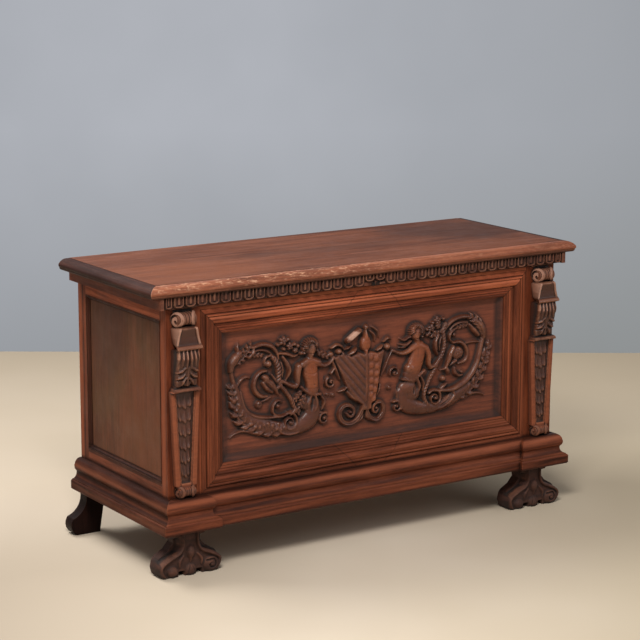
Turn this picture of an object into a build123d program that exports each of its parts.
"""Walnut cassone: a joined and panelled chest on bracket feet, with a hinged lid.

Millimetres. X runs along the chest, Y from front to back, Z up.
The origin is on the floor, under the middle of the whole chest.
"""
import os
from math import cos, radians, sin

from build123d import *

# ---------------------------------------------------------------- driving dimensions
# carcase
case_length = 1320.0
case_depth = 515.0
foot_height = 130.0
base_height = 91.0
lid_underside = 776.0

# framing
post_width = 105.0
front_thickness = 34.0
back_post_width = 60.0
back_post_depth = 47.0
side_thickness = 30.0
back_thickness = 28.0
side_top_rail_height = 68.0
side_bottom_rail_height = 126.0
front_top_rail_height = 46.0
back_top_rail_height = 80.0
back_bottom_rail_height = 100.0
tenon_length = 22.0
tenon_thickness = 9.0
tenon_shoulder = 7.0
groove_depth = 8.0
panel_play = 1.0
side_panel_thickness = 12.0
side_panel_recess = 8.0
back_panel_thickness = 12.0
back_panel_recess = 6.0

# front panel and the moulded frame planted round it
frame_width = 72.5
frame_proud = 1.5
panel_margin_recess = 14.0
panel_tongue_thickness = 12.0
panel_thickness = 24.0
field_sink = 22.0
field_bevel = 19.0
relief_height = 20.0
relief_offset = -10.0

# moulding round the end panels
end_moulding_width = 13.0
end_moulding_lip = 1.0

# base moulding
base_projection = 36.0
base_breakfront = 12.5
plinth_band_height = 24.0
bead_projection = 22.5
bead_height = 37.0

# frieze under the lid
frieze_height = 32.0
frieze_front_projection = 21.0
frieze_end_projection = 27.0
tongue_spacing = 36.0
tongue_gap = 4.5
tongue_relief = 8.0
tongue_foot_gap = 1.5
end_tongue_width = 25.0
frieze_corner_width = 14.0
short_tongue_rise = 12.0

# carved consoles on the front posts
console_middle = 611.0
roll_radius = 20.0
roll_length = 80.0
abacus_height = 12.0
abacus_width = 84.0
abacus_projection = 14.0
plaque_length = 77.0
lip_projection = 46.0
lip_width = 84.0
leaf_length = 118.0
band_thickness = 14.0
band_projection = 29.0
band_width = 88.0
shaft_projection = 16.0
shaft_top_width = 86.0
shaft_bottom_width = 68.0
shaft_border = 15.0
shaft_sink = 7.0
husk_count = 7
foot_roll_radius = 17.0
foot_roll_length = 76.0

# feet
front_foot_thickness = 60.0
front_foot_setback = 13.0
front_foot_middle = 597.0
front_foot_spread = 97.0
front_foot_neck = 40.0
front_foot_head = 47.0
volute_radius = 27.0
volute_boss = 5.0
back_foot_thickness = 40.0
back_foot_toe = 56.0
back_foot_neck = 10.0
back_foot_width = 92.0
dowel_radius = 6.0
dowel_length = 44.0

# lid
lid_thickness = 32.0
lid_end_overhang = 60.0
lid_front_overhang = 31.0
lid_edge_width = 34.0
lid_joint_gap = 0.8
lid_seat_gap = 0.3
lid_back_board_depth = 215.0
batten_width = 60.0
batten_thickness = 20.0
batten_clearance = 12.0

# floor of the chest
floor_board_thickness = 18.0
floor_height = 160.0
floor_play = 1.0
cleat_size = 24.0

# hinges
knuckle_radius = 5.0
pin_radius = 2.5
pin_clearance = 0.06
hinge_length = 74.0
hinge_from_end = 260.0
leaf_width = 32.0
leaf_thickness = 2.5
knuckle_gap = 0.4
knuckle_count = 5
knuckle_relief = 1.2
screw_radius = 2.2
screw_head_radius = 4.0
screw_length = 15.0
screws_per_leaf = 3

# lock
lock_width = 110.0
lock_depth = 20.0
lock_wall = 2.0
lock_offset = 0.0
lock_drop = 1.5
bolt_height = 10.0
bolt_depth = 8.0
bolt_length = 44.0
bolt_travel = 12.0
bolt_play = 0.4
staple_thickness = 5.0
staple_length = 24.0
staple_plate_length = 46.0
staple_plate_thickness = 2.0
staple_play = 2.0
key_hole_radius = 3.0
key_slot_width = 2.6
key_slot_length = 8.0
key_post_radius = 1.6
key_plate_width = 26.0
key_plate_thickness = 2.0

# ---------------------------------------------------------------- places worked out
half_case = case_length / 2
base_top = foot_height + base_height
whole_depth = case_depth + base_breakfront + base_projection + knuckle_radius
case_back = whole_depth / 2 - knuckle_radius
case_front = case_back - case_depth
lid_bottom = lid_underside + lid_seat_gap
lid_top = lid_bottom + lid_thickness
frieze_bottom = lid_underside - frieze_height
side_top_opening = lid_underside - side_top_rail_height
side_bottom_opening = foot_height + side_bottom_rail_height
front_top_opening = lid_underside - front_top_rail_height
front_bottom_opening = base_top
half_opening = half_case - post_width
half_sight = half_opening - frame_width
sight_top = front_top_opening - frame_width
sight_bottom = front_bottom_opening + frame_width
sight_middle = (sight_top + sight_bottom) / 2
post_back = case_front + front_thickness
half_frieze = half_case + frieze_end_projection
tongue_span = half_frieze - frieze_corner_width - end_tongue_width
tongues_each_side = round(tongue_span / tongue_spacing)
tongue_pitch = tongue_span / tongues_each_side
roll_height = frieze_bottom - abacus_height - roll_radius
lip_height = roll_height - plaque_length
band_height = lip_height - leaf_length
lid_length = case_length + 2 * lid_end_overhang
lid_depth = case_depth + lid_front_overhang
back_post_front = case_back - back_post_depth
axis_height = lid_underside + lid_seat_gap / 2


def block(x0, x1, y0, y1, z0, z1):
    """Square block between two opposite corners."""
    x0, x1 = sorted((x0, x1))
    return Pos(x0, y0, z0) * Box(x1 - x0, y1 - y0, z1 - z0, align=(Align.MIN,) * 3)


def proud(projection):
    """Y of a point that stands so far in front of the case front."""
    return case_front - projection


def outline(place, start, *steps):
    """Closed face through steps; a step of one point is a line, of two is an arc."""
    edges = []
    here = start
    for step in steps:
        points = [Vector(*place(*here))] + [Vector(*place(*point)) for point in step]
        edges.append(Line(*points) if len(step) == 1 else ThreePointArc(*points))
        here = step[-1]
    edges.append(Line(Vector(*place(*here)), Vector(*place(*start))))
    return Face(Wire(edges))


def prism(corners, place, direction):
    """Straight prism on a polygon."""
    return run(Face(Wire.make_polygon([Vector(*place(*corner)) for corner in corners])), direction)


def run(face, direction):
    """Length of moulding: a section pushed along a direction."""
    return extrude(face, amount=Vector(*direction).length, dir=Vector(*direction))


def whole(shape):
    """The one solid that a finished piece consists of."""
    return max(shape.solids(), key=lambda solid: solid.volume)


def mirrored(shape):
    """The same piece for the other end of the chest."""
    return mirror(shape, about=Plane.YZ)


def save(shape, node):
    export_step(shape, f"parts/{node}.step")


# ---------------------------------------------------------------- posts and rails
def front_left_post():
    """Front post with mortises for its rails and grooves for both panels."""
    post = block(-half_case, -half_opening, case_front, post_back, foot_height, lid_underside)
    post -= front_panel_space()
    post -= side_panel_space()
    for rail in (front_rail(True), front_rail(False), side_rail(True), side_rail(False)):
        post -= rail
    return whole(post - foot_dowel(front_dowels()[0]) - foot_dowel(front_dowels()[1]))


def back_left_post():
    """Back post, square in section, grooved for the end and back panels."""
    post = block(-half_case, -half_case + back_post_width, back_post_front, case_back,
                 foot_height, lid_underside)
    post -= side_panel_space()
    post -= back_panel_space()
    for rail in (back_rail(True), back_rail(False), side_rail(True), side_rail(False)):
        post -= rail
    return whole(post - foot_dowel(back_dowels()[0]) - foot_dowel(back_dowels()[1]))


def tenoned_rail(x0, x1, y0, y1, z0, z1, along_x, tenon_place):
    """Rail between shoulders with a tenon on each end."""
    body = block(x0, x1, y0, y1, z0, z1)
    low = z0 + tenon_shoulder
    high = z1 - tenon_shoulder
    if along_x:
        return body + block(x0 - tenon_length, x1 + tenon_length, tenon_place,
                            tenon_place + tenon_thickness, low, high)
    return body + block(tenon_place, tenon_place + tenon_thickness, y0 - tenon_length,
                        y1 + tenon_length, low, high)


def front_rail(top):
    """Rail over or under the carved panel, its panel groove left in."""
    low, high = (front_top_opening, lid_underside) if top else (foot_height, front_bottom_opening)
    inset = (front_thickness - tenon_thickness) * 2 / 3
    return tenoned_rail(-half_opening, half_opening, case_front, post_back, low, high, True,
                        case_front + inset)


def back_rail(top):
    """Rail over or under the back panel."""
    low, high = foot_height, foot_height + back_bottom_rail_height
    if top:
        low, high = lid_underside - back_top_rail_height, lid_underside
    reach = half_case - back_post_width
    return tenoned_rail(-reach, reach, case_back - back_thickness, case_back, low, high, True,
                        case_back - (back_thickness + tenon_thickness) / 2)


def side_rail(top):
    """Left end rail over or under the end panel."""
    low, high = (side_top_opening, lid_underside) if top else (foot_height, side_bottom_opening)
    return tenoned_rail(-half_case, -half_case + side_thickness, post_back, back_post_front,
                        low, high, False, -half_case + (side_thickness + tenon_thickness) / 2)


# ---------------------------------------------------------------- panels
def side_panel_space(play=0.0):
    """Room of the left end panel in its grooves; play makes it the panel itself."""
    reach = groove_depth - play
    x0 = -half_case + side_panel_recess
    return block(x0, x0 + side_panel_thickness, post_back - reach, back_post_front + reach,
                 side_bottom_opening - reach, side_top_opening + reach)


def back_panel_space(play=0.0):
    """Room of the back panel in its grooves."""
    reach = groove_depth - play
    side = half_case - back_post_width + reach
    y1 = case_back - back_panel_recess
    return block(-side, side, y1 - back_panel_thickness, y1,
                 foot_height + back_bottom_rail_height - reach,
                 lid_underside - back_top_rail_height + reach)


def front_panel_space(play=0.0):
    """Room of the carved panel's tongue in the front posts and rails."""
    reach = groove_depth - play
    y0 = case_front + panel_margin_recess
    return block(-half_opening - reach, half_opening + reach, y0, y0 + panel_tongue_thickness,
                 front_bottom_opening - reach, front_top_opening + reach)


def front_panel():
    """Carved panel: tongued edges, a sunk field with sloped margins, and its relief."""
    panel = front_panel_space(panel_play)
    y0 = case_front + panel_margin_recess
    panel += block(-half_opening + panel_play, half_opening - panel_play, y0,
                   y0 + panel_thickness, front_bottom_opening + panel_play,
                   front_top_opening - panel_play)
    sink = field_sink - panel_margin_recess
    rim = Plane(origin=(0, y0, sight_middle), x_dir=(1, 0, 0), z_dir=(0, 1, 0))
    floor = Plane(origin=(0, y0 + sink, sight_middle), x_dir=(1, 0, 0), z_dir=(0, 1, 0))
    width, height = 2 * half_sight, sight_top - sight_bottom
    hollow = loft([rim * Rectangle(width, height).face(),
                   floor * Rectangle(width - 2 * field_bevel, height - 2 * field_bevel).face()])
    panel -= hollow
    for form in relief_forms():
        panel += form
    return whole(panel)


# ---------------------------------------------------------------- relief of the panel
def relief_point(x, z, rise=0.0):
    """Point of the relief: x from its middle, z from the middle of the sight."""
    return Vector(relief_offset + x, case_front + field_sink - rise, sight_middle + z)


def relief_plate(points, rise):
    """Flat raised shape with the outline through points."""
    face = Face(Wire.make_polygon([relief_point(x, z, -1.0) for x, z in points]))
    return extrude(face, amount=rise + 1.0, dir=Vector(0, -1, 0))


def relief_ball(x, z, half_width, half_height, rise):
    """Half of an egg shape standing on the field."""
    ball = scale(Sphere(1.0), by=(half_width, rise, half_height))
    return Pos(*relief_point(x, z, 1.0)) * ball


def relief_limb(start, end, radius, rise):
    """Straight rounded limb between two points of the relief."""
    first, last = relief_point(*start, rise), relief_point(*end, rise)
    bar = Solid.make_cylinder(radius, (last - first).length, Plane(first, z_dir=last - first))
    return bar + Pos(*first) * Sphere(radius) + Pos(*last) * Sphere(radius)


def relief_scroll(x, z, sweep_radius, tube, start, turn, rise):
    """Rounded scroll: part of a ring that lies on the field."""
    middle = relief_point(x, z, rise)
    angle = radians(start)
    first = middle + Vector(sweep_radius * cos(angle), 0, sweep_radius * sin(angle))
    outward = Vector(cos(angle), 0, sin(angle))
    section = Plane(origin=first, x_dir=outward, z_dir=Vector(0, -1, 0).cross(outward)) * Circle(tube)
    return revolve(section.face(), Axis(middle, Vector(0, -1, 0)), turn)


def relief_forms():
    """Main forms of the carving: a shield between two figures whose tails end in scrolls."""
    unit = half_sight / 482.5
    shield = [(-94, 65), (-60, 82), (-20, 76), (0, 88), (20, 76), (60, 82), (94, 65), (88, 20),
              (66, -30), (36, -66), (0, -80), (-36, -66), (-66, -30), (-88, 20)]
    forms = [relief_plate([(x * unit, z * unit) for x, z in shield], relief_height * 0.6)]
    forms.append(relief_ball(5 * unit, 100 * unit, 15 * unit, 34 * unit, relief_height * 0.8))
    for side in (-1, 1):
        def at(x, z):
            return side * x * unit, z * unit
        forms.append(relief_scroll(*at(36, -98), 24 * unit, 9 * unit, 90, 360, 6 * unit))
        forms.append(relief_ball(*at(174, 106), 22 * unit, 30 * unit, relief_height))
        forms.append(relief_ball(*at(176, 38), 32 * unit, 54 * unit, relief_height))
        forms.append(relief_ball(*at(180, -62), 50 * unit, 56 * unit, relief_height * 0.9))
        forms.append(relief_limb(at(198, 56), at(232, 22), 10 * unit, 6 * unit))
        forms.append(relief_limb(at(232, 22), at(222, 0), 8 * unit, 6 * unit))
        forms.append(relief_limb(at(150, 60), at(104, 62), 8 * unit, 6 * unit))
        open_end = 270 + 35 * side
        forms.append(relief_scroll(*at(330, 2), 108 * unit, 17 * unit, open_end, 300 * side,
                                   5 * unit))
        forms.append(relief_scroll(*at(316, 28), 42 * unit, 9 * unit, 90, 270 * side, 4 * unit))
    return forms


# ---------------------------------------------------------------- mouldings
def frame_profile(place):
    """Section of the frame round the carved panel: reeds, a broad ovolo, a bead, a flat."""
    back = -panel_margin_recess
    ovolo_start, ovolo_end = frame_width * 0.42, frame_width * 0.69
    bead_end, groove_end = frame_width * 0.78, frame_width * 0.83
    low, high = back + 2.5, frame_proud - 4.5
    steps = [[(0, low)]]
    reeds = 4
    reed = (ovolo_start - 1.0) / reeds
    rise = (high - low) / reeds
    for number in range(reeds):
        begin, level = number * reed, low + number * rise
        steps.append([(begin + reed * 0.4, level + rise * 0.5 + 1.6), (begin + reed, level + rise)])
    steps.append([(ovolo_start, frame_proud - 0.5)])
    steps.append([((ovolo_start + ovolo_end) / 2 - 2, frame_proud + 5.0),
                  (ovolo_end, frame_proud + 2.0)])
    steps.append([(ovolo_end, frame_proud - 1.0)])
    steps.append([(ovolo_end + 1.0, frame_proud - 1.0)])
    steps.append([((ovolo_end + bead_end) / 2 + 0.5, frame_proud + 5.0),
                  (bead_end, frame_proud - 1.5)])
    steps.append([(groove_end, frame_proud - 1.5)])
    steps.append([(groove_end, frame_proud)])
    steps.append([(frame_width, frame_proud)])
    steps.append([(frame_width, back)])
    return outline(place, (0, back), *steps)


def frame_side(level):
    """Top (1) or bottom (-1) member of the frame, mitred at both ends."""
    edge = sight_top if level > 0 else sight_bottom
    far = half_opening + 1.0
    face = frame_profile(lambda out, rise: (-far, proud(rise), edge + level * out))
    strip = run(face, (2 * far, 0, 0))
    outer = edge + level * frame_width
    corners = [(-half_sight, edge), (half_sight, edge), (half_opening, outer), (-half_opening, outer)]
    y0 = proud(frame_proud + 20)
    return whole(strip & prism(corners, lambda x, z: (x, y0, z), (0, front_thickness + 40, 0)))


def frame_left():
    """Left member of the frame, mitred at both ends."""
    low, high = front_bottom_opening - 1.0, front_top_opening + 1.0
    face = frame_profile(lambda out, rise: (-half_sight - out, proud(rise), low))
    strip = run(face, (0, 0, high - low))
    corners = [(-half_sight, sight_bottom), (-half_sight, sight_top),
               (-half_opening, front_top_opening), (-half_opening, front_bottom_opening)]
    y0 = proud(frame_proud + 20)
    return whole(strip & prism(corners, lambda x, z: (x, y0, z), (0, front_thickness + 40, 0)))


def end_moulding_profile(place):
    """Section of the small ogee strip planted in front of an end panel."""
    depth = side_panel_recess
    width = end_moulding_width
    return outline(
        place, (0, 0), [(width, 0)], [(width, 2.0)],
        [(width * 0.72, 2.4), (width * 0.6, depth * 0.55)],
        [(width * 0.42, depth * 0.86), (3.0, depth - end_moulding_lip)],
        [(2.4, depth + end_moulding_lip)], [(0, depth + end_moulding_lip)])


def left_panel_moulding():
    """Four mitred strips round the left end panel."""
    x0 = -half_case + side_panel_recess
    y0, y1 = post_back, back_post_front
    z0, z1 = side_bottom_opening, side_top_opening
    inset = end_moulding_width
    strips = []
    for low in (True, False):
        edge, sign = (z0, 1) if low else (z1, -1)
        face = end_moulding_profile(lambda out, rise: (x0 - rise, y0, edge + sign * out))
        corners = [(y0, edge), (y1, edge), (y1 - inset, edge + sign * inset),
                   (y0 + inset, edge + sign * inset)]
        mitre = prism(corners, lambda y, z: (x0 - 20, y, z), (40, 0, 0))
        strips.append(whole(run(face, (0, y1 - y0, 0)) & mitre))
    for front in (True, False):
        edge, sign = (y0, 1) if front else (y1, -1)
        face = end_moulding_profile(lambda out, rise: (x0 - rise, edge + sign * out, z0))
        corners = [(edge, z0), (edge, z1), (edge + sign * inset, z1 - inset),
                   (edge + sign * inset, z0 + inset)]
        mitre = prism(corners, lambda y, z: (x0 - 20, y, z), (40, 0, 0))
        strips.append(whole(run(face, (0, 0, z1 - z0)) & mitre))
    return Compound(children=strips)


# ---------------------------------------------------------------- base
def base_profile(place, inner, extra=0.0):
    """Section of the base from an inner line outwards: bead, hollow, ogee, plinth band."""
    band_top = foot_height + plinth_band_height
    bead_low = base_top - bead_height
    hollow_low = (bead_low + band_top) / 2 + 1.0
    edge = base_projection + extra
    bead = bead_projection + extra
    return outline(
        place, (inner, foot_height), [(edge - 3.0, foot_height)], [(edge, foot_height + 3.0)],
        [(edge, band_top)],
        [(edge - 1.5, band_top + 3.5), (edge - 5.0, band_top + 5.0)],
        [(edge - 5.0, band_top + 7.0)], [(edge - 9.0, band_top + 7.0)],
        [(bead - 3.0, hollow_low - 1.0), (bead - 5.0, bead_low - 1.5)],
        [(bead - 3.5, bead_low)],
        [(bead + 1.5, base_top - bead_height * 0.68), (bead, base_top - bead_height * 0.45)],
        [(bead - 6.0, base_top - 5.0), (bead - bead_projection * 0.8, base_top)],
        [(inner, base_top)])


def base_left_block():
    """Corner block of the base under the left console, its moulding returned at the inside."""
    far = half_case + base_projection + 5
    face = base_profile(lambda out, z: (-far, proud(out), z), 0.0, base_breakfront)
    strip = run(face, (far, 0, 0))
    outer = base_profile(lambda out, z: (-half_case - out, proud(base_projection * 2), z),
                         -post_width / 2)
    inner = base_profile(lambda out, z: (-half_opening + out, proud(base_projection * 2), z),
                         -post_width / 2)
    depth = (0, base_projection * 2, 0)
    piece = strip & (run(outer, depth) + run(inner, depth))
    return whole(piece & corner_wedge())


def corner_wedge():
    """Everything in front of the left mitre of the base."""
    reach = base_projection + base_breakfront + 20
    corners = [(-half_case - reach, base_breakfront + reach), (-half_case, base_breakfront),
               (-half_case + base_breakfront, 0), (0, 0), (0, base_breakfront + reach)]
    return prism(corners, lambda x, out: (x, proud(out), foot_height - 5), (0, 0, base_height + 10))


def base_left():
    """Left end of the base, mitred to its corner block."""
    front = proud(base_breakfront + base_projection)
    face = base_profile(lambda out, z: (-half_case - out, front, z), 0.0)
    strip = run(face, (0, case_back - front, 0))
    return whole(strip - corner_wedge())


def base_front():
    """Middle length of the base, scribed between the returned corner blocks."""
    face = base_profile(lambda out, z: (-half_opening, proud(out), z), 0.0)
    strip = run(face, (2 * half_opening, 0, 0))
    depth = (0, base_projection * 2, 0)
    for side in (-1, 1):
        edge = base_profile(
            lambda out, z, side=side: (side * (half_opening - out), proud(base_projection * 2), z),
            -1.0)
        strip -= run(edge, depth)
    return whole(strip)


# ---------------------------------------------------------------- frieze
def tongue(x0, x1, z0):
    """One raised tongue with a rounded foot and a sunk line round its middle."""
    width = x1 - x0
    middle = (x0 + x1) / 2
    top = lid_underside - 1.0
    corner = width * 0.3
    back = proud(frieze_front_projection - tongue_relief - 1.0)

    def face(inset, low, high):
        return outline(
            lambda x, z: (x, back, z), (x0 + inset, high), [(x0 + inset, low + corner)],
            [(x0 + inset + corner * 0.25, low + corner * 0.25), (x0 + inset + corner, low)],
            [(x1 - inset - corner, low)],
            [(x1 - inset - corner * 0.25, low + corner * 0.25), (x1 - inset, low + corner)],
            [(x1 - inset, high)])
    pad = run(face(0.0, z0, top), (0, -tongue_relief - 1.0, 0))
    sink = block(middle - width * 0.1, middle + width * 0.1, proud(frieze_front_projection) - 1,
                 proud(frieze_front_projection) + 2.5, z0 + corner, top - 3.0)
    return pad - sink


def frieze_front():
    """Front board of the frieze with its row of tongues and the keyhole."""
    half = half_frieze
    ground = frieze_front_projection - tongue_relief
    board = block(-half, half, proud(ground), case_front, frieze_bottom, lid_underside)
    low = frieze_bottom + tongue_foot_gap
    pitch = tongue_pitch
    for number in range(-tongues_each_side, tongues_each_side):
        x0 = number * pitch + tongue_gap / 2
        short = number in (-1, 0)
        board += tongue(x0, x0 + pitch - tongue_gap, low + (short_tongue_rise if short else 0))
    last = tongue_span
    corner = frieze_corner_width
    for side in (-1, 1):
        inner = side * (last + tongue_gap / 2)
        board += tongue(*sorted((inner, side * (last + end_tongue_width))), low)
        board += block(side * (half - corner + tongue_gap / 2), side * half,
                       proud(frieze_front_projection), case_front, frieze_bottom, lid_underside)
    board += block(-pitch + tongue_gap, pitch - tongue_gap, proud(frieze_front_projection),
                   case_front, frieze_bottom, low + short_tongue_rise - 2.0)
    board = board - key_plate_space() - key_hole()
    return whole(board & frieze_wedge())


def frieze_wedge():
    """Everything in front of both mitres of the frieze."""
    back, front = -1.0, frieze_front_projection + 20
    slope = frieze_end_projection / frieze_front_projection
    inner = half_case + back * slope
    outer = half_case + front * slope
    corners = [(-inner, back), (inner, back), (outer, front), (-outer, front)]
    return prism(corners, lambda x, out: (x, proud(out), frieze_bottom - 5),
                 (0, 0, frieze_height + 10))


def frieze_left():
    """Plain end board of the frieze, mitred at the front."""
    board = block(-half_case - frieze_end_projection, -half_case, proud(frieze_front_projection),
                  case_back, frieze_bottom, lid_underside)
    return whole(board - frieze_wedge())


# ---------------------------------------------------------------- consoles
def ringed_roll(height, projection, radius, length):
    """Turned roll of a console, its axis along the chest, with rings cut round it."""
    left = -console_middle - length / 2
    rim = length * 0.16
    ring = (length - 2 * rim) / 4
    steps = [[(left, radius)], [(left + rim, radius)], [(left + rim, radius - 3.0)]]
    for number in range(4):
        begin = left + rim + number * ring
        steps.append([(begin + ring / 2, radius - 0.5), (begin + ring, radius - 3.0)])
    end = left + length
    steps += [[(end - rim, radius)], [(end, radius)], [(end, 0)]]
    axis_y = proud(projection)
    face = outline(lambda x, r: (x, axis_y, height + r), (left, 0), *steps)
    roll = revolve(face, Axis((0, axis_y, height), (1, 0, 0)), 360)
    front = block(left - 1, end + 1, proud(projection + radius + 5), case_front,
                  height - radius - 5, height + radius + 5)
    return roll & front


def console_slab(width, low, high, near, far):
    """Block of a console between two heights and two projections."""
    half = width / 2
    return block(-console_middle - half, -console_middle + half, proud(far), proud(near), low, high)


def console_face(width, height, near, far):
    """Level rectangle across a console, for a loft."""
    plane = Plane(origin=(-console_middle, proud((near + far) / 2), height))
    return plane * Rectangle(width, far - near).face()


def left_console():
    """Carved console: ringed roll, flared plaque, leaf, tapering shaft and foot roll."""
    roll_projection = roll_radius * 0.45
    plaque_top = roll_height - roll_radius * 0.7
    console = ringed_roll(roll_height, roll_projection, roll_radius, roll_length)
    console += console_slab(abacus_width, roll_height, frieze_bottom, 0, abacus_projection)
    console += loft([console_face(roll_length * 0.82, plaque_top, 0, roll_radius * 1.3),
                     console_face(lip_width, lip_height, 0, lip_projection)])
    leaf_middle = (lip_height * 0.6 + band_height * 0.4)
    leaf = outline(
        lambda out, z: (-console_middle - band_width / 2, proud(out), z), (0, lip_height),
        [(lip_projection - 4, lip_height)],
        [(lip_projection - 4.5, leaf_middle), (band_projection - 5, band_height + band_thickness)],
        [(0, band_height + band_thickness)])
    console += run(leaf, (band_width, 0, 0))
    console += console_slab(band_width, band_height, band_height + band_thickness, 0,
                            band_projection)
    foot_roll_height = base_top + foot_roll_radius + 1.0
    shaft_low = foot_roll_height
    ends = [(band_height, shaft_top_width), (shaft_low, shaft_bottom_width)]
    console += loft([console_face(width, z, 0, shaft_projection) for z, width in ends])
    sunk = loft([console_face(width - 2 * shaft_border, z, shaft_projection - shaft_sink,
                              shaft_projection + 1)
                 for z, width in [(band_height, shaft_top_width),
                                  (shaft_low + foot_roll_radius, shaft_bottom_width)]])
    console -= sunk
    console += ringed_roll(foot_roll_height, foot_roll_radius * 0.5, foot_roll_radius,
                           foot_roll_length)
    for husk in husks(shaft_low + foot_roll_radius):
        console += husk
    return whole(console)


def husks(low):
    """Row of overlapping bell husks that shrink down the shaft."""
    pitch = (band_height - low) / husk_count
    forms = []
    for number in range(husk_count):
        top = band_height - number * pitch
        share = number / husk_count
        width = (shaft_top_width + (shaft_bottom_width - shaft_top_width) * share) / 2 - shaft_border
        bell = scale(Sphere(1.0), by=(width * 0.9, shaft_sink * 0.95, pitch * 0.8))
        cut = block(-half_case, -half_opening, proud(shaft_projection + shaft_sink), case_front,
                    top - pitch * 0.95, top)
        y = proud(shaft_projection - shaft_sink - 0.5)
        forms.append((Pos(-console_middle, y, top - pitch * 0.2) * bell) & cut)
    return forms


# ---------------------------------------------------------------- feet
def front_left_foot():
    """Carved bracket foot: necked board that spreads into two volutes round a leaf."""
    middle = -front_foot_middle
    y0 = proud(front_foot_setback)
    eye_x = front_foot_spread - volute_radius
    eye_z = volute_radius - 1.0
    waist = foot_height * 0.68
    right = [
        [(front_foot_neck, waist + 12), (front_foot_neck + 2, waist - 6)],
        [(eye_x - 8, eye_z + 38), (eye_x + 4, eye_z + volute_radius)],
        [(front_foot_spread, eye_z), (eye_x + 6, 0)],
        [(eye_x - 12, 0)],
        [(eye_x - volute_radius - 2, 16), (24, 0)],
        [(-24, 0)]]
    left = [
        [(-eye_x + volute_radius + 2, 16), (-eye_x + 12, 0)],
        [(-eye_x - 6, 0)],
        [(-front_foot_spread, eye_z), (-eye_x - 4, eye_z + volute_radius)],
        [(-eye_x + 8, eye_z + 38), (-front_foot_neck - 2, waist - 6)],
        [(-front_foot_neck, waist + 12), (-front_foot_head, foot_height)]]
    face = outline(lambda x, z: (middle + x, y0, z), (front_foot_head, foot_height), *right, *left)
    foot = run(face, (0, front_foot_thickness, 0))
    for side in (-1, 1):
        boss_face = Plane(origin=(middle + side * eye_x, y0, eye_z), z_dir=(0, -1, 0))
        foot += extrude(boss_face * Circle(volute_radius * 0.8), volute_boss)
        foot += extrude(boss_face * Circle(volute_radius * 0.35), volute_boss * 1.6)
    bead = scale(Sphere(1.0), by=(9.0, 9.0, foot_height * 0.17))
    foot += Pos(middle, y0, foot_height * 0.45) * bead
    leaf = scale(Sphere(1.0), by=(20.0, 8.0, foot_height * 0.17))
    foot += Pos(middle, y0, foot_height * 0.17) * leaf
    foot = foot & block(middle - front_foot_spread - 5, middle + front_foot_spread + 5,
                        y0 - 20, y0 + front_foot_thickness, 0, foot_height)
    for place in front_dowels():
        foot -= foot_dowel(place)
    return whole(foot)


def back_left_foot():
    """Plain sawn bracket foot with an S-shaped outer edge."""
    y0 = case_back - back_foot_thickness
    outer = -half_case - back_foot_toe
    neck = -half_case - back_foot_neck
    inner = outer + back_foot_width
    face = outline(
        lambda x, z: (x, y0, z), (-half_case + back_post_width - 4, foot_height),
        [(inner, 10.0)], [(inner, 0)], [(outer + 18, 0)],
        [(outer, 22.0), (outer + 6, 50.0)],
        [(neck - 6, 76.0), (neck, foot_height)])
    foot = run(face, (0, back_foot_thickness, 0))
    for place in back_dowels():
        foot -= foot_dowel(place)
    return whole(foot)


def front_dowels():
    """Places of the dowels that hold a front foot up into its post."""
    y = (case_front + post_back) / 2
    return [(-front_foot_middle - 14, y), (-front_foot_middle + 14, y)]


def back_dowels():
    """Places of the dowels that hold a back foot up into its post."""
    y = case_back - back_foot_thickness / 2
    middle = -half_case + back_post_width / 2
    return [(middle - 14, y), (middle + 14, y)]


def foot_dowel(place):
    """Dowel halfway in the foot and halfway in the post."""
    return Solid.make_cylinder(dowel_radius, dowel_length,
                               Plane((*place, foot_height - dowel_length / 2)))


def foot_dowels():
    """All dowels of the four feet."""
    left = [foot_dowel(place) for place in front_dowels() + back_dowels()]
    return Compound(children=left + [mirrored(dowel) for dowel in left])


# ---------------------------------------------------------------- floor
def floor_span():
    """Front and back limits of the floor boards."""
    return post_back + floor_play, case_back - back_thickness - floor_play


def floor_board(number, boards=3):
    """One of the boards of the chest's floor, notched round the back posts."""
    front, back = floor_span()
    half = half_case - side_thickness - floor_play
    step = (back - front) / boards
    y0 = front + number * step
    board = block(-half, half, y0 + floor_play / 2, y0 + step - floor_play / 2, floor_height,
                  floor_height + floor_board_thickness)
    inner = half_case - back_post_width - floor_play
    for side in (-1, 1):
        board -= block(side * inner, side * half_case, back_post_front - floor_play, case_back,
                       foot_height, lid_underside)
    return whole(board)


def floor_cleat(front):
    """Cleat along the inside of a long rail that the floor boards rest on."""
    half = half_opening if front else half_case - back_post_width
    y0 = post_back if front else case_back - back_thickness - cleat_size
    return block(-half, half, y0, y0 + cleat_size, floor_height - cleat_size, floor_height)


# ---------------------------------------------------------------- lid
def lid_board_half():
    """Half the length of the lid boards inside their edging."""
    return lid_length / 2 - lid_edge_width


def lid_board_front_y():
    """Front of the lid boards."""
    return case_back - lid_depth + lid_edge_width


def lid_board(back):
    """Back or front board of the lid top."""
    half = lid_board_half() - lid_joint_gap
    joint = case_back - lid_back_board_depth
    y0, y1 = (joint, case_back) if back else (lid_board_front_y() + lid_joint_gap, joint - 0.3)
    board = block(-half, half, y0, y1, lid_bottom, lid_top)
    if back:
        board -= hinge_cut(-1) + hinge_cut(1)
        board -= lid_screws()
    return whole(board)


def lid_edge_profile(place):
    """Section of the lid edging from the boards outwards: eased top, round nose, undercut."""
    nose = lid_edge_width
    height = lid_thickness
    return outline(
        place, (0, 0), [(nose - 12, 0)],
        [(nose - 5.0, 2.0), (nose - 3.0, height * 0.25)],
        [(nose, height * 0.45), (nose - 3.0, height * 0.65)],
        [(nose * 0.55, height * 0.93), (nose * 0.2, height - 0.6)],
        [(0, height - 0.6)])


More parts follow.
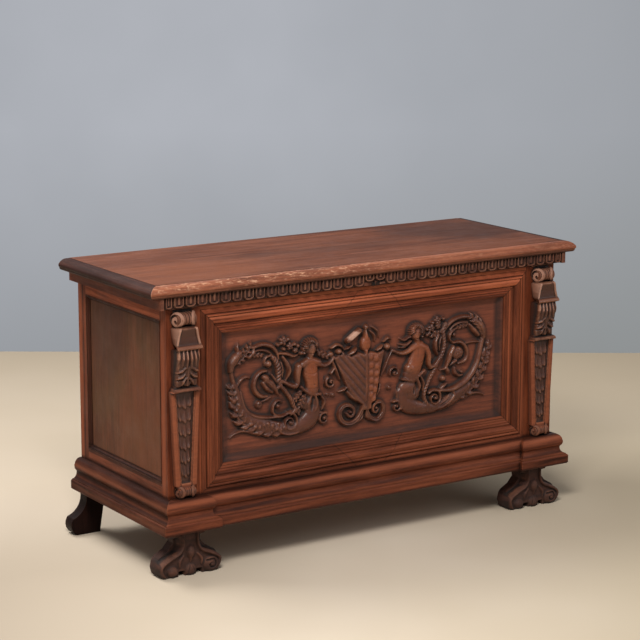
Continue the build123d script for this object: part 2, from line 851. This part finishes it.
def lid_edge_front():
    """Front edging of the lid, mitred at both ends."""
    half, front = lid_board_half(), lid_board_front_y()
    far = half + lid_edge_width
    face = lid_edge_profile(lambda out, z: (-far, front - out, lid_bottom + z))
    return whole(run(face, (2 * far, 0, 0)) & lid_front_wedge())


def lid_front_wedge():
    """Everything in front of both mitres of the lid edging."""
    half, front = lid_board_half(), lid_board_front_y()
    reach = lid_edge_width + 10
    corners = [(-half, 0), (half, 0), (half + reach, reach), (-half - reach, reach)]
    return prism(corners, lambda x, out: (x, front - out, lid_bottom - 5),
                 (0, 0, lid_thickness + 10))


def lid_edge_left():
    """Left edging of the lid, mitred at the front and square at the back."""
    half, front = lid_board_half(), lid_board_front_y()
    y0 = front - lid_edge_width
    face = lid_edge_profile(lambda out, z: (-half - out, y0, lid_bottom + z))
    return whole(run(face, (0, case_back - y0, 0)) - lid_front_wedge())


def lid_batten_left():
    """Batten across the underside of the lid boards, inside the end of the chest."""
    x0 = -half_case + side_thickness + batten_clearance
    edge = batten_thickness * 0.4
    y0, y1 = post_back + batten_clearance, back_post_front - batten_clearance
    low = lid_bottom - batten_thickness
    corners = [(y0, lid_bottom), (y0, low + edge), (y0 + edge, low), (y1 - edge, low),
               (y1, low + edge), (y1, lid_bottom)]
    return prism(corners, lambda y, z: (x0, y, z), (batten_width, 0, 0))


# ---------------------------------------------------------------- hinges
def hinge_middle(side):
    """X of a hinge's middle."""
    return side * (half_case - hinge_from_end)


def knuckle_spans(side, of_case):
    """Lengths of the knuckles that belong to one leaf."""
    x0 = hinge_middle(side) - hinge_length / 2
    step = hinge_length / knuckle_count
    first = 0 if of_case else 1
    return [(x0 + n * step + knuckle_gap / 2, x0 + (n + 1) * step - knuckle_gap / 2)
            for n in range(first, knuckle_count, 2)]


def hinge_cut(side):
    """Room for a hinge in the lid and the back rail."""
    x0, x1 = hinge_middle(side) - hinge_length / 2, hinge_middle(side) + hinge_length / 2
    radius = knuckle_radius + knuckle_relief
    barrel = Solid.make_cylinder(radius, hinge_length + 1.0,
                                 Plane((x0 - 0.5, case_back, axis_height), z_dir=(1, 0, 0)))
    leaves = block(x0, x1, case_back - leaf_width, case_back, lid_underside - leaf_thickness,
                   lid_bottom + leaf_thickness)
    return barrel + leaves


def hinge_leaf(side, of_case):
    """One leaf with its knuckles rolled round the pin."""
    x0, x1 = hinge_middle(side) - hinge_length / 2, hinge_middle(side) + hinge_length / 2
    low = lid_underside - leaf_thickness if of_case else lid_bottom
    plate_back = case_back - knuckle_radius - knuckle_relief * 0.5
    leaf = block(x0, x1, case_back - leaf_width, plate_back, low, low + leaf_thickness)
    bore = pin_radius if of_case else pin_radius + pin_clearance
    for start, end in knuckle_spans(side, of_case):
        axis = Plane((start, case_back, axis_height), z_dir=(1, 0, 0))
        leaf += block(start, end, plate_back, case_back, low, low + leaf_thickness)
        leaf += Solid.make_cylinder(knuckle_radius, end - start, axis)
    hole = Plane((x0 - 1, case_back, axis_height), z_dir=(1, 0, 0))
    leaf -= Solid.make_cylinder(bore, hinge_length + 2, hole)
    for start, end in knuckle_spans(side, not of_case):
        gap = Plane((start - knuckle_gap, case_back, axis_height), z_dir=(1, 0, 0))
        room = Solid.make_cylinder(knuckle_radius + knuckle_gap, end - start + 2 * knuckle_gap, gap)
        leaf -= room
    for screw in screws(side, of_case):
        leaf -= screw
    return whole(leaf)


def hinge_pin(side):
    """Pin of one hinge."""
    x0 = hinge_middle(side) - hinge_length / 2
    return Solid.make_cylinder(pin_radius, hinge_length,
                               Plane((x0, case_back, axis_height), z_dir=(1, 0, 0)))


def screws(side, of_case):
    """Countersunk screws of one leaf."""
    step = hinge_length / screws_per_leaf
    y = case_back - leaf_width * 0.55
    down = -1 if of_case else 1
    face = lid_underside if of_case else lid_bottom
    found = []
    for number in range(screws_per_leaf):
        x = hinge_middle(side) - hinge_length / 2 + (number + 0.5) * step
        head = leaf_thickness * 0.8
        plane = Plane((x, y, face), z_dir=(0, 0, down))
        cone = Solid.make_cone(screw_head_radius, screw_radius, head, plane)
        shank = Solid.make_cylinder(screw_radius, screw_length, plane)
        found.append(whole(cone + shank))
    return found


def case_screws():
    """Screws that hold the hinges to the back rail."""
    return Compound(children=screws(-1, True) + screws(1, True))


def lid_screws():
    """Screws that hold the hinges to the lid."""
    return Compound(children=screws(-1, False) + screws(1, False))


# ---------------------------------------------------------------- lock
def staple_middle():
    """X of the staple that hangs from the lid."""
    return lock_offset - lock_width * 0.18


def key_height():
    """Height of the middle of the keyhole."""
    return frieze_bottom + key_hole_radius + 4.5


def bolt_place():
    """Centre height and Y of the lock bolt, just over the post that guides the key."""
    height = key_height() + key_post_radius + 1.0 + bolt_height / 2
    return height, post_back + lock_depth / 2


def lock_case():
    """Iron lock case on the back of the top rail, open towards the rail."""
    low = front_top_opening + 1.0
    high = lid_underside - lock_drop
    x0, x1 = lock_offset - lock_width / 2, lock_offset + lock_width / 2
    height, y = bolt_place()
    case = block(x0, x1, post_back, post_back + lock_depth, low, high)
    case -= block(x0 + lock_wall, x1 - lock_wall, post_back - 1, post_back + lock_depth - lock_wall,
                  low + lock_wall, high - lock_wall)
    room = staple_thickness / 2 + staple_play
    case -= block(staple_middle() - room, staple_middle() + room, post_back - 1,
                  post_back + lock_depth - lock_wall, high - lock_wall - 1, high + 1)
    for sign in (-1, 1):
        edge = height + sign * (bolt_height / 2 + bolt_play)
        z0, z1 = sorted((edge, edge + sign * lock_wall))
        case += block(staple_middle() + room + 1.0, x1 - lock_wall, y - bolt_depth / 2,
                      post_back + lock_depth - lock_wall, z0, z1)
    back_wall = (lock_offset, post_back + lock_depth - lock_wall, key_height())
    case += Solid.make_cylinder(key_post_radius, lock_depth - lock_wall,
                                Plane(back_wall, z_dir=(0, -1, 0)))
    return whole(case)


def lock_bolt():
    """Sliding bolt, drawn back clear of the staple."""
    height, y = bolt_place()
    tip = staple_middle() + staple_thickness / 2 + staple_play * 0.5
    bolt = block(tip, tip + bolt_length, y - bolt_depth / 2, y + bolt_depth / 2,
                 height - bolt_height / 2, height + bolt_height / 2)
    notch = tip + (bolt_length - bolt_travel) / 2
    bolt -= block(notch, notch + bolt_travel, y - bolt_depth, y - bolt_depth * 0.1,
                  height - bolt_height, height - bolt_height * 0.1)
    return whole(bolt)


def lock_staple():
    """Plate let into the lid with the eye that the bolt shoots through."""
    height, y = bolt_place()
    middle = staple_middle()
    plate = block(middle - staple_plate_length / 2, middle + staple_plate_length / 2,
                  y - 9.0, y + 9.0, lid_bottom, lid_bottom + staple_plate_thickness)
    half = bolt_depth / 2 + 2.5
    eye = block(middle - staple_thickness / 2, middle + staple_thickness / 2, y - half, y + half,
                lid_bottom - staple_length, lid_bottom)
    window = block(middle - staple_thickness, middle + staple_thickness,
                   y - bolt_depth / 2 - 0.5, y + bolt_depth / 2 + 0.5,
                   height - bolt_height / 2 - 0.8, height + bolt_height / 2 + 0.8)
    return whole(plate + (eye - window))


def key_hole():
    """Keyhole through the frieze and the top rail."""
    height = key_height()
    front = Plane((lock_offset, proud(frieze_front_projection + 5), height), z_dir=(0, 1, 0))
    depth = frieze_front_projection + 5 + front_thickness + 1
    round_part = Solid.make_cylinder(key_hole_radius, depth, front)
    slot = block(lock_offset - key_slot_width / 2, lock_offset + key_slot_width / 2,
                 proud(frieze_front_projection + 5), proud(frieze_front_projection + 5) + depth,
                 height - key_slot_length + 1.5, height)
    return round_part + slot


def key_plate_space():
    """Room of the iron keyhole plate in the frieze."""
    half = key_plate_width / 2
    y0 = proud(frieze_front_projection)
    return block(lock_offset - half, lock_offset + half, y0, y0 + key_plate_thickness,
                 frieze_bottom, frieze_bottom + short_tongue_rise - 2.5)


def key_plate():
    """Iron plate let in round the keyhole."""
    return whole(key_plate_space() - key_hole())


# ---------------------------------------------------------------- assembly
def rails():
    """The eight rails with their grooves, hinge housings and holes cut."""
    dowels = foot_dowels()
    top = front_rail(True) - front_panel_space() - key_hole()
    pieces = {
        "front_top_rail": whole(top),
        "front_bottom_rail": whole(front_rail(False) - front_panel_space() - dowels),
        "back_top_rail": whole(back_rail(True) - back_panel_space() - hinge_cut(-1)
                               - hinge_cut(1) - case_screws()),
        "back_bottom_rail": whole(back_rail(False) - back_panel_space() - dowels),
        "left_top_rail": whole(side_rail(True) - side_panel_space()),
        "left_bottom_rail": whole(side_rail(False) - side_panel_space() - dowels)}
    pieces["right_top_rail"] = mirrored(pieces["left_top_rail"])
    pieces["right_bottom_rail"] = mirrored(pieces["left_bottom_rail"])
    return pieces


def pairs():
    """Pieces that come once for each end of the chest."""
    return {
        "front_{}_post": front_left_post, "back_{}_post": back_left_post,
        "front_{}_foot": front_left_foot, "back_{}_foot": back_left_foot,
        "{}_end_panel": lambda: side_panel_space(panel_play),
        "{}_end_moulding": left_panel_moulding, "{}_console": left_console,
        "frieze_{}": frieze_left, "base_{}_block": base_left_block, "base_{}": base_left,
        "front_frame_{}": frame_left, "lid_edge_{}": lid_edge_left,
        "lid_batten_{}": lid_batten_left}


def singles():
    """Pieces that come once."""
    plate = block(staple_middle() - staple_plate_length / 2, staple_middle() + staple_plate_length / 2,
                  bolt_place()[1] - 9.0, bolt_place()[1] + 9.0, lid_bottom,
                  lid_bottom + staple_plate_thickness)
    return {
        "front_panel": front_panel(), "back_panel": back_panel_space(panel_play),
        "front_frame_top": frame_side(1), "front_frame_bottom": frame_side(-1),
        "frieze_front": frieze_front(), "base_front": base_front(),
        "floor_board_front": floor_board(0), "floor_board_middle": floor_board(1),
        "floor_board_back": floor_board(2),
        "floor_cleat_front": floor_cleat(True), "floor_cleat_back": floor_cleat(False),
        "lid_board_front": whole(lid_board(False) - plate), "lid_board_back": lid_board(True),
        "lid_edge_front": lid_edge_front(),
        "hinge_case_screws": case_screws(), "hinge_lid_screws": lid_screws(),
        "hinge_pins": Compound(children=[hinge_pin(-1), hinge_pin(1)]),
        "foot_dowels": foot_dowels(), "lock_case": lock_case(), "lock_bolt": lock_bolt(),
        "lock_staple": lock_staple(), "key_plate": key_plate()}


os.makedirs("parts", exist_ok=True)
for name, piece in {**rails(), **singles()}.items():
    save(piece, name)
for name, maker in pairs().items():
    piece = maker()
    save(piece, name.format("left"))
    save(mirrored(piece), name.format("right"))
for end, side in (("left", -1), ("right", 1)):
    save(hinge_leaf(side, True), f"{end}_hinge_case_leaf")
    save(hinge_leaf(side, False), f"{end}_hinge_lid_leaf")
